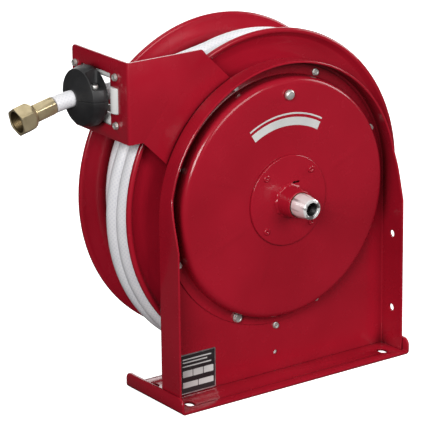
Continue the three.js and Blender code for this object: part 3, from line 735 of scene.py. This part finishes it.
def hub_plate():
    """The round plate with its conical boss and a small drain slot."""
    back = HUB_FACE - GAP
    outline = fillet([
        (15.3, back), (56, back), (56, -40.4, 1.2), (19.3, -40.4, 2.5), (17, -63, 0.8), (15.3, -63, 0.4),
    ])
    body = lathe(outline, steps=112)
    drain = rectangle(6, 16, 250.3, 252.9, 1.1)
    return carve(body, [prism(drain, -50, -30, "xz")])


def pitted_head(x, z, face_y):
    """A painted-over head: a low ring round a small pit."""
    outline = [
        (0, face_y + 0.5), (4.4, face_y + 0.5), (4.4, face_y), (4.1, face_y - 0.8),
        (3.4, face_y - 1.5), (2.6, face_y - 1.7), (1.9, face_y - 1.3), (1.5, face_y - 0.2),
        (1.1, face_y + 0.1), (0, face_y + 0.1),
    ]
    return lathe(outline, (x, 0, z), (0, 1, 0), 24)


def lumpy(radius, height=0.7):
    """A radius that wanders with the angle, like a run of weld."""
    def wander(angle):
        return radius + height * (0.6 * math.sin(11 * angle) + 0.5 * math.sin(17 * angle + 1.3))
    return wander


def hub_weld():
    """The painted-over weld where the boss stands on the hub plate."""
    outline = [
        (17.4, -40), (lumpy(21.5), -40.1), (lumpy(21.4), -40.8), (lumpy(20.9), -41.8),
        (lumpy(19.9, 0.5), -43.0), (18.4, -43.8), (17.4, -43.4),
    ]
    return lathe(outline, steps=144)


piece(spring_cover(), "spring_cover_formed", "frame", RED, "spring_cover", sharp=30)
piece(hub_plate(), "hub_plate_formed", "frame", RED, "hub_plate", sharp=30)
piece(hub_weld(), "hub_weld", "frame", RED, sharp=70)
for i in range(4):
    x, z = on_circle(RIVET_CIRCLE, 45 + 90 * i)
    piece(pitted_head(x, z, -40.7), f"hub_rivet_{i + 1}_head", "frame", RED, f"hub_rivet_{i + 1}", sharp=55)

# ---- Fasteners ----------------------------------------------------------------------------------


def hexagon(flats, cap, turn=0.0):
    """The radius of a hexagon with that distance across its flats, at most cap, by angle."""
    def radius(angle):
        local = (angle + turn + math.pi / 6) % (math.pi / 3) - math.pi / 6
        return min(flats / 2 / math.cos(local), cap)
    return radius


def hex_bolt(foot, along, flats, height, washer, shank, length):
    """A flanged hexagon head standing on foot, pointing against along, with its shank going along it."""
    corner = flats / math.sqrt(3)
    outline = [(0, length), (shank - 0.4, length), (shank, length - 0.6)]
    outline += [(shank, 0), (washer - 0.2, 0), (washer, -0.2), (washer - 0.1, -0.7)]
    outline += [(flats / 2 + 0.25, -1.0), (hexagon(flats, corner), -1.05)]
    outline += [(hexagon(flats, corner), -height + 0.9)]
    outline += [(hexagon(flats, corner - 0.25), -height + 0.45), (hexagon(flats, flats / 2), -height + 0.1)]
    outline += [(flats / 2 - 0.4, -height), (flats / 2 - 1.4, -height), (flats / 2 - 1.8, -height + 0.35)]
    outline += [(0, -height + 0.35)]
    return lathe(outline, foot, along, 48)


def hex_nut(foot, flats, height, bore):
    """A hexagon nut on foot, pointing to the rear, with a chamfer on its free face."""
    corner = flats / math.sqrt(3)
    outline = [(bore, 0), (flats / 2 - 0.2, 0), (hexagon(flats, corner), 0.5)]
    outline += [(hexagon(flats, corner), height - 1), (hexagon(flats, flats / 2), height - 0.2)]
    outline += [(flats / 2 - 0.6, height), (bore + 0.6, height), (bore, height - 0.6)]
    return lathe(outline, foot, (0, 1, 0), 48)


def pawl_spring():
    """A small coil stretched from the latch pawl's ear to its post."""
    start, end = Vector((-32.2, -1.5, 76.9)), Vector((-3.4, -1.5, 62.8))
    _, u, v = across(end - start)
    coils, around, coil_radius, wire = 14, 12, 2.1, 0.45
    path = [start]
    for k in range(coils * around + 1):
        angle = TURN * k / around
        place = start.lerp(end, 0.08 + 0.84 * k / (coils * around))
        path.append(place + (u * math.cos(angle) + v * math.sin(angle)) * coil_radius)
    path.append(end)
    return tube(path, wire, sides=8)


for i in range(8):
    if i == PIVOT_PLACE:
        continue
    x, z = ring_place(i)
    number = i + 1 if i < PIVOT_PLACE else i
    bolt = hex_bolt((x, -14.1, z), (0, 1, 0), 6.6, 3.2, 4.4, 2.5, 10.5)
    piece(bolt, f"cover_screw_{number}_fine", "frame", ZINC, f"cover_screw_{number}", sharp=30)

x, z = ring_place(PIVOT_PLACE)
pivot = hex_bolt((x, -14.1, z), (0, 1, 0), 9.6, 4.6, 5.8, 4.0, 27.4)
piece(pivot, "pawl_pivot_bolt_fine", "frame", ZINC, "pawl_pivot_bolt", sharp=30)
post = hex_bolt((0, -12.3, POST_Z), (0, 1, 0), 6.6, 3.0, 4.2, 2.5, 15)
piece(post, "pawl_spring_post_fine", "frame", ZINC, "pawl_spring_post", sharp=30)
piece(pawl_spring(), "pawl_spring_coil", "frame", BLUED, "pawl_spring", sharp=60)
anchor = lathe(fillet([
    (0, -14), (5, -14), (5, -35.8), (6.2, -35.8), (6.2, -38.9, 1.2), (4.6, -40.6, 1.5), (0, -40.8),
], closed=False), (ANCHOR[0], 0, ANCHOR[1]), (0, 1, 0), 32)
piece(anchor, "spring_anchor_bolt_fine", "frame", ZINC, "spring_anchor_bolt", sharp=30)
for i, (y, z) in enumerate([(-1, -1), (-1, 1), (1, -1), (1, 1)]):
    foot = (-207.1, GUIDE_Y + y * BOLT_Y, GUIDE_Z + z * BOLT_Z)
    bolt = hex_bolt(foot, (1, 0, 0), 7.4, 3.4, 4.6, 2.5, 9.2)
    piece(bolt, f"guide_bolt_{i + 1}_fine", "frame", ZINC, f"guide_bolt_{i + 1}", sharp=30)

# ---- Plain stripes and plate, both without any writing ------------------------------------------

STRIPES = ((92, 102), (105.5, 107.5))  # a broad and a thin stripe, by their radii from the spool's axis


def on_cover(radius, degrees, lift):
    """A place on the cover's face, or a little in front of it."""
    x, z = on_circle(radius, degrees)
    return x, cover_face_y(radius) - lift, z


def stripe(inner, outer):
    """A thin plain film over the hub between two radii, the same to the left and to the right."""
    degrees = range(60, 121)
    lift, thickness = 0.14, 0.1
    count = len(degrees)
    front = [on_cover(radius, angle, lift) for radius in (outer, inner) for angle in degrees]
    verts = front + [(x, y + thickness, z) for x, y, z in front]
    faces = []
    for k in range(count - 1):
        faces.append([k, k + 1, count + k + 1, count + k])
        faces.append([2 * count + k, 3 * count + k, 3 * count + k + 1, 2 * count + k + 1])
        faces.append([k, 2 * count + k, 2 * count + k + 1, k + 1])
        faces.append([count + k, count + k + 1, 3 * count + k + 1, 3 * count + k])
    faces.append([0, count, 3 * count, 2 * count])
    faces.append([count - 1, 3 * count - 1, 4 * count - 1, 2 * count - 1])
    return make(verts, faces)


piece(gathered([stripe(*radii) for radii in STRIPES]), "cover_stripes", "frame", SILVER_INK, sharp=30)


def plate_part(x0, x1, z0, z1, y0, y1, corner):
    """A thin rounded rectangle that faces the front."""
    return prism(rectangle(x0, x1, z0, z1, corner), y0, y1, "xz")


plate = plate_part(-143, -91, 4.2, 55, -12.9, PANEL_FRONT - GAP, 1.5)
piece(plate, "data_plate_base", "frame", SILVER, "data_plate")
piece(plate_part(-141.6, -92.4, 5.6, 53.6, -13.0, -12.85, 1.0), "data_plate_field", "frame", DARK_INK)
rows = []
for top, bottom, cells in ((34, 25.6, 3), (19.2, 12, 2)):
    width = 46.0 / cells
    for k in range(cells):
        x0 = -140 + k * width
        rows.append(plate_part(x0 + 0.5, x0 + width - 0.5, bottom, top, -13.1, -12.95, 0.6))
for z in (48.5, 44.5, 39.5):
    rows.append(plate_part(-139.5, -96 - (z % 3) * 3, z - 0.8, z + 0.8, -13.1, -12.95, 0.3))
piece(gathered(rows), "data_plate_rows", "frame", SILVER_INK)

# ---- Guide arm, roller frame and rollers --------------------------------------------------------


def round_guide(half_y, half_z, corner):
    """A rectangle's outline in y and z, centred on the hose's line through the guide."""
    return rectangle(GUIDE_Y - half_y, GUIDE_Y + half_y, GUIDE_Z - half_z, GUIDE_Z + half_z, corner)


def guide_arm():
    """A sheet bent to a right angle, cut to its outline, with a plus-shaped window in its folded end."""
    face, back, sheet, bend = -206.8, -6.7, 2.5, 4.0
    front = back - sheet
    rear = 109.3
    section = fillet([
        (-15, front), (face, front, bend), (face, rear), (face + sheet, rear),
        (face + sheet, back, bend - sheet), (-15, back),
    ])
    body = prism(section, 240, 427, "xy")
    outline = fillet([
        (face - 1, 328.5), (-187, 328.5, 3), (-111, 252.5), (-20, 343.5), (-95, 418.5, 5), (-102, 427, 4),
        (face - 1, 427.01),
    ])
    carve(body, [prism(outline, -20, 120, "xz")], "INTERSECT")
    flange = fillet([
        (-20, 200), (back + 1, 200), (back + 1, 328.5), (rear, 328.5, 6), (rear, 427, 6), (-20, 427.02),
    ])
    carve(body, [prism(flange, face - 5, 0, "yz")], "INTERSECT")
    low, high = face - 5, face + sheet + 5
    for half_y, half_z in ((47, 16), (31, 31.5)):
        carve(body, [prism(round_guide(half_y, half_z, 1.5), low, high, "yz")])
    return soften(body, 0.4, 2, 50)


def roller_frame():
    """A block with a post at each bolt, cut out crosswise for the rollers, and a window for the hose."""
    half = 8
    outer_y, outer_z = BOLT_Y + half, BOLT_Z + half
    body = prism(round_guide(outer_y, outer_z, 2.0), -204, -180, "yz")
    carve(body, [prism(round_guide(BOLT_Y - half, outer_z + 5, 1.0), -210, -182, "yz")])
    carve(body, [prism(round_guide(outer_y + 5, BOLT_Z - half, 1.0), -210, -182, "yz")])
    carve(body, [prism(round_guide(33, 20, 3), -190, -170, "yz")])
    return soften(body, 0.5, 2, 50)


piece(guide_arm(), "guide_arm_formed", "frame", RED, "guide_arm", sharp=30)
piece(roller_frame(), "roller_frame_formed", "frame", ZINC, "roller_frame", sharp=30)


def roller(centre, along, radius, half_body, half_total):
    """A roller with a thin journal at each end."""
    journal = 2.4
    return lathe(fillet([
        (0, -half_total), (journal, -half_total, 0.4), (journal, -half_body), (radius, -half_body, 1.2),
        (radius, half_body, 1.2), (journal, half_body), (journal, half_total, 0.4), (0, half_total),
    ], closed=False), centre, along, FINE)


for side, name in ((-1, "bottom"), (1, "top")):
    place = (ACROSS_X, GUIDE_Y, GUIDE_Z + side * BOLT_Z)
    shape = roller(place, (0, 1, 0), ACROSS_R, 30.4, 38.3)
    piece(shape, f"roller_{name}_fine", f"{name}_roller", NYLON, f"roller_{name}")
for side, name in ((-1, "front"), (1, "rear")):
    place = (UPRIGHT_X, GUIDE_Y + side * UPRIGHT_Y, GUIDE_Z)
    shape = roller(place, (0, 0, 1), UPRIGHT_R, 15.6, 24.7)
    piece(shape, f"roller_{name}_fine", f"{name}_roller", NYLON, f"roller_{name}")

# ---- Spool --------------------------------------------------------------------------------------


def spool_disc(face, side):
    """A pressed disc with a flared rim rolled outward. side is -1 at the front, 1 at the back."""
    t = 1.5
    inner = face - side * t
    bead_r, bead_y, bead = 198.4, face + side * 5.8, 3.6
    web = 178
    outer_run = [(12.8, face), (30, face), (120, face), (web, face)]
    inner_run = [(12.8, inner), (30, inner), (120, inner), (web, inner)]
    flare = abs(bead_y - side * bead - inner)
    for k in range(1, 12):
        share = k / 12
        lift = flare * share * share * (3 - 2 * share)
        inner_run.append((web + (bead_r - web) * share, inner + side * lift))
        if share < 0.75:
            outer_run.append((web + (bead_r - web) * share, inner + side * (lift + t)))
    roll = []
    for k in range(17):
        angle = math.radians(-90 + 225 * k / 16)
        roll.append((bead_r + bead * math.cos(angle), bead_y + side * bead * math.sin(angle)))
    return lathe(inner_run + roll + outer_run[::-1])


def round_turn(radius, y, wave, sag=0.0):
    """One turn of hose on the drum, a little uneven as hose really lies."""
    points = []
    steps = 150
    for k in range(steps):
        angle = TURN * k / steps
        r = radius + 0.25 * math.sin(3 * angle + wave) + 0.15 * math.sin(7 * angle + 2 * wave)
        offset = 0.45 * math.sin(2 * angle + 1.7 * wave) + 0.25 * math.sin(5 * angle + wave)
        points.append((r * math.cos(angle), y + offset, AXIS_Z - sag + r * math.sin(angle)))
    return tube(points, HOSE_R, closed=True)


piece(spool_disc(14.0, -1), "front_disc_formed", "spool", RED, "front_disc", sharp=50)
piece(spool_disc(105.6, 1), "rear_disc_formed", "spool", RED, "rear_disc", sharp=50)

turns = [round_turn(148.4, 26.6 + 20.9 * k, k * 1.3) for k in range(4)]
turns += [round_turn(165.4, 27.0 + 21.0 * k, 0.7 + k * 1.9) for k in range(4)]
loose_turns = [round_turn(TURNS_R - 0.8, y, 2.1 + k, SAG) for k, y in enumerate((27.3, 48.6))]
piece(gathered(turns), "hose_turns", "spool", HOSE, "hose_layers", sharp=60)
piece(gathered(loose_turns), "hose_loose_turns", "frame", HOSE, "hose_outer_turns", sharp=60)


def main_shaft():
    """The hollow shaft, with its water port and the thread on its rear end."""
    outline = [(0, 50), (7, 50), (7, -47), (9.3, -47), (9.3, -62), (12.5, -62), (12.5, 107.6), (9, 107.6)]
    for k in range(7):
        outline += [(8.4, 108.4 + 1.5 * k), (9, 109.1 + 1.5 * k)]
    outline += [(9, 119.6), (8, 120.6), (0, 120.6)]
    port = rod(5, (0, 40, AXIS_Z), (0, 0, 1), 0, 20)
    return carve(lathe(outline), [port])


piece(main_shaft(), "main_shaft_turned", "spool", STEEL, "main_shaft", sharp=30)
for i, degrees in enumerate((30, 150, 270)):
    x, z = on_circle(TIE_CIRCLE, degrees)
    bolt = hex_bolt((x, 13.7, z), (0, 1, 0), 9.6, 3.6, 5.6, 3.0, 99.9)
    locknut = hex_nut((x, 105.7, z), 9.6, 4.6, 3.0)
    piece(gathered([bolt, locknut]), f"tie_bolt_{i + 1}_fine", "spool", ZINC, f"tie_bolt_{i + 1}", sharp=30)
piece(hex_nut((0, 107.9, AXIS_Z), 29.4, 10, 9.3), "shaft_nut_fine", "spool", ZINC, "shaft_nut", sharp=30)

# ---- Hose lead, stop and end fitting ------------------------------------------------------------


def hose_lead():
    """From inside the outer turn, along its tangent, level through the rollers and up to the stop."""
    reach = Vector((BEND_X, GUIDE_Z - AXIS_Z))
    radius = TURNS_R - SAG - 0.8
    slope = math.atan2(-reach.x, reach.y) - math.acos(radius / reach.length)
    touch = Vector((-radius * math.sin(slope), 0, AXIS_Z + radius * math.cos(slope)))
    direction = Vector((-math.cos(slope), 0, -math.sin(slope)))
    points = []
    for k in range(7):
        angle = math.pi / 2 + slope - math.radians(24 * (1 - k / 7))
        points.append(Vector((radius * math.cos(angle), 48.6, AXIS_Z + radius * math.sin(angle))))
    for distance, y in ((0, 48.7), (30, 50.6), (60, 53.6), (90, 56.4), (120, 58.4)):
        point = touch + direction * distance
        points.append(Vector((point.x, y, point.z)))
    points.append(Vector((-174, GUIDE_Y - 0.1, 377.9)))
    points.append(Vector((BEND_X, GUIDE_Y, GUIDE_Z + 0.4)))
    points.append(Vector((-200, GUIDE_Y, GUIDE_Z)))
    points.append(Vector((-207.3, GUIDE_Y, GUIDE_Z)))
    path = smooth_path(points, 8)
    # The lead starts inside the outer turn, so it is a little thinner there and doesn't show through it.
    radii = [9.4 + 0.6 * min(max((i - 40) / 30, 0), 1) for i in range(len(path))]
    return tube(path, HOSE_R, radii=radii)


lead = hose_lead()
dress(lead, "hose_lead_run", HOSE, 60)
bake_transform(lead)
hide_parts("hose_lead")


def stop_half(upper):
    """Half of the ball: a barrel that narrows to a sharp front rim, with a shallow cone in front of it."""
    outline = fillet([
        (10.3, STOP_REAR), (25, STOP_REAR, 2), (35.6, STOP_REAR - 4.6, 5), (37, STOP_REAR - 10, 8),
        (36, STOP_REAR - 17, 12), (33.6, STOP_RIM, 0.9), (22, STOP_RIM - 5.4, 12), (13.6, STOP_NOSE, 1.2),
        (10.3, STOP_NOSE),
    ], steps=6)
    body = lathe(outline, (0, GUIDE_Y, GUIDE_Z), (1, 0, 0), 96)
    seam = 0.2
    low, high = (GUIDE_Z + seam, GUIDE_Z + 60) if upper else (GUIDE_Z - 60, GUIDE_Z - seam)
    half_space = [(-250, low), (-200, low), (-200, high), (-250, high)]
    carve(body, [prism(half_space, 0, 120, "xz")], "INTERSECT")
    tools = []
    for side in (-1, 1):
        y = GUIDE_Y + side * STOP_SCREW_SIDE
        if upper:
            pocket = fillet([(-230.6, y - side * 8, 4), (-213.6, y - side * 8, 4),
                             (-213.6, y + side * 22, 1), (-230.6, y + side * 22, 1)])
            tools.append(prism(pocket, GUIDE_Z + 14, GUIDE_Z + 60, "xy"))
        tools.append(rod(2.8, (STOP_SCREW_X, y, GUIDE_Z), (0, 0, 1), -16, 20, 24))
    carve(body, tools)
    return soften(body, 0.6, 3, 40)


piece(stop_half(True), "stop_upper_moulded", "hose_end", RUBBER, "stop_upper", sharp=30)
piece(stop_half(False), "stop_lower_moulded", "hose_end", RUBBER, "stop_lower", sharp=30)
for i, side in enumerate((-1, 1)):
    foot = (STOP_SCREW_X, GUIDE_Y + side * STOP_SCREW_SIDE, GUIDE_Z + 14.3)
    bolt = lathe([
        (0, 29), (2.4, 29), (2.4, 0), (4.4, 0), (4.4, -2.4), (4.0, -3.2), (3.0, -3.7), (2.2, -3.7),
        (2.0, -2.2), (0, -2.2),
    ], foot, (0, 0, -1), 32)
    piece(bolt, f"stop_screw_{i + 1}_fine", "hose_end", ZINC, f"stop_screw_{i + 1}", sharp=30)

stub_path = smooth_path([
    (STOP_REAR - 0.3, GUIDE_Y, GUIDE_Z), (-222, GUIDE_Y, GUIDE_Z), (STOP_RIM - 4, GUIDE_Y, GUIDE_Z),
    (STOP_NOSE, GUIDE_Y, GUIDE_Z), (STOP_NOSE - 9, GUIDE_Y, GUIDE_Z - 1),
    tuple(FITTING_START - FITTING_ALONG * 0.3),
], 8)
piece(tube(stub_path, HOSE_R), "hose_stub_run", "hose_end", HOSE, "hose_stub", sharp=60)

CORNER_UP = math.pi / 6  # turns a hexagon so that a corner points up


def on_fitting(outline, steps):
    """A body of revolution round the fitting's axis."""
    return lathe(outline, FITTING_START, FITTING_ALONG, steps)


def ferrule():
    """A sleeve crimped to six flats, with round ends."""
    flats, ridge = 20.4, 11.3
    six = partial(hexagon, flats, turn=CORNER_UP)
    outline = [(6.2, 1), (9.8, 1), (six(10.3), 1.3), (six(ridge), 2.2)]
    outline += [(six(ridge), 26.6), (six(10.6), 27.4), (10.2, 27.6), (10.0, 28), (6.2, 28)]
    return on_fitting(outline, 96)


def swivel_nut():
    """A hexagon nut, sharp-edged at its mouth and turned round at its back."""
    flats = 31.0
    corner = flats / math.sqrt(3)
    start, end, seat = 30.0, 52.0, 35.0
    six = partial(hexagon, flats, turn=CORNER_UP)
    outline = [(7.2, start), (flats / 2 - 2.6, start), (flats / 2 - 1.2, start + 0.8)]
    outline += [(flats / 2 - 0.6, start + 2.4), (six(flats / 2 + 0.2), start + 3.4)]
    outline += [(six(flats / 2 + 1.3), start + 4.8), (six(corner), start + 6.2), (six(corner), end - 1.2)]
    outline += [(six(corner - 0.7), end - 0.3), (six(corner - 1.3), end), (14.0, end), (13.3, end - 0.7)]
    outline += [(13.25, seat), (7.2, seat)]
    return on_fitting(outline, 96)


def nut_thread():
    """The internal thread, in brass painted dark as painted shade inside the nut's mouth."""
    end, seat = 51.4, 35.4
    outline = [(13.24, end)]
    depth = end - 0.4
    while depth > seat + 2.4:
        outline += [(12.5, depth - 0.3), (13.1, depth - 1.2)]
        depth -= 2.0
    outline += [(13.24, seat)]
    return on_fitting(outline, 64)


piece(ferrule(), "ferrule_crimped", "hose_end", BRASS, "ferrule", sharp=25)
piece(swivel_nut(), "swivel_nut_fine", "end_nut", BRASS, "swivel_nut", sharp=28)
piece(nut_thread(), "swivel_nut_thread", "end_nut", BRASS_IN_PAINTED_SHADE, sharp=30)


def inlet():
    """The turned inlet with its collar and its tapering barrel."""
    outline = fillet([
        (5, -48), (8.8, -48), (8.8, -63.3), (14.8, -63.3, 0.5), (14.8, -71.5, 2.5), (12.6, -86, 1.0),
        (11.4, -87), (8.6, -87, 0.4), (8.2, -72), (5, -71),
    ])
    return lathe(outline, steps=64)


def inlet_bore():
    """The threaded inside of the inlet, nearly black as painted shade inside its bore."""
    outline = [(8.19, -84.8)]
    depth = -84.4
    while depth < -74:
        outline += [(7.5, depth + 0.3), (8.05, depth + 1.1)]
        depth += 1.6
    outline += [(7.9, -72.4), (5.2, -72.3), (5.2, -71.6), (8.19, -71.6)]
    return lathe(outline, steps=48)


piece(inlet(), "inlet_swivel_fine", "inlet", POLISHED, "inlet_swivel", sharp=30)
piece(inlet_bore(), "inlet_swivel_bore", "inlet", STEEL_IN_PAINTED_SHADE, sharp=30)

# ---- Floor, light and world ---------------------------------------------------------------------


def seen_or_bounced(tree, seen, bounced):
    """A colour that is one value to the camera and another to light that bounces off the stage."""
    path = tree.nodes.new("ShaderNodeLightPath")
    mix = tree.nodes.new("ShaderNodeMix")
    mix.data_type = "RGBA"
    mix.inputs[6].default_value = (*bounced, 1)
    mix.inputs[7].default_value = (*seen, 1)
    tree.links.new(path.outputs["Is Camera Ray"], mix.inputs[0])
    return mix.outputs[2]


def stage_floor():
    """A wide white floor just under the base. Its sizes are in metres."""
    mesh = bpy.data.meshes.new("floor")
    far, drop = 14.0, -0.0004
    corners = [(-far, -far, drop), (far, -far, drop), (far, far, drop), (-far, far, drop)]
    mesh.from_pydata(corners, [], [(0, 1, 2, 3)])
    floor = linked("floor", mesh)
    material = bpy.data.materials.new("floor")
    material.use_nodes = True
    tree = material.node_tree
    shader = tree.nodes["Principled BSDF"]
    colour = seen_or_bounced(tree, (0.93, 0.93, 0.93), (0.08, 0.075, 0.075))
    tree.links.new(colour, shader.inputs["Base Color"])
    shader.inputs["Roughness"].default_value = 0.9
    shader.inputs["Specular IOR Level"].default_value = 0.0
    glow = seen_or_bounced(tree, (0.85, 0.85, 0.85), (0.0, 0.0, 0.0))
    tree.links.new(glow, shader.inputs["Emission Color"])
    shader.inputs["Emission Strength"].default_value = 1.0
    mesh.materials.append(material)


def area_light(name, place, target, size, power):
    """A rectangular lamp that faces its target. Places and sizes are in metres, the power in watts."""
    data = bpy.data.lights.new(name, "AREA")
    data.shape = "RECTANGLE"
    data.size, data.size_y = size
    data.energy = power
    lamp = linked(name, data)
    lamp.location = place
    lamp.rotation_euler = (Vector(target) - Vector(place)).to_track_quat("-Z", "Y").to_euler()


def light_scene():
    """Five soft lamps, and a world that looks white but adds little light."""
    area_light("key", (-3.2, -2.6, 2.2), (0, 0, 0.25), (1.8, 1.8), 165)
    area_light("fill", (0.6, -3.6, 1.9), (0, 0, 0.25), (2.0, 1.6), 70)
    area_light("top", (-0.4, 0.6, 3.4), (0, 0, 0.2), (2.4, 2.4), 20)
    area_light("right", (3.2, -0.6, 1.6), (0, 0, 0.25), (1.6, 1.6), 56)
    area_light("rear", (1.8, 3.2, 1.6), (0.1, 0, 0.2), (3.0, 2.4), 55)
    world = bpy.data.worlds.new("studio")
    bpy.context.scene.world = world
    world.use_nodes = True
    tree = world.node_tree
    background = tree.nodes["Background"]
    tree.links.new(seen_or_bounced(tree, (1, 1, 1), (0.07, 0.07, 0.07)), background.inputs["Color"])
    background.inputs["Strength"].default_value = 1.0
    bpy.context.scene.view_settings.view_transform = "Standard"


stage_floor()
light_scene()
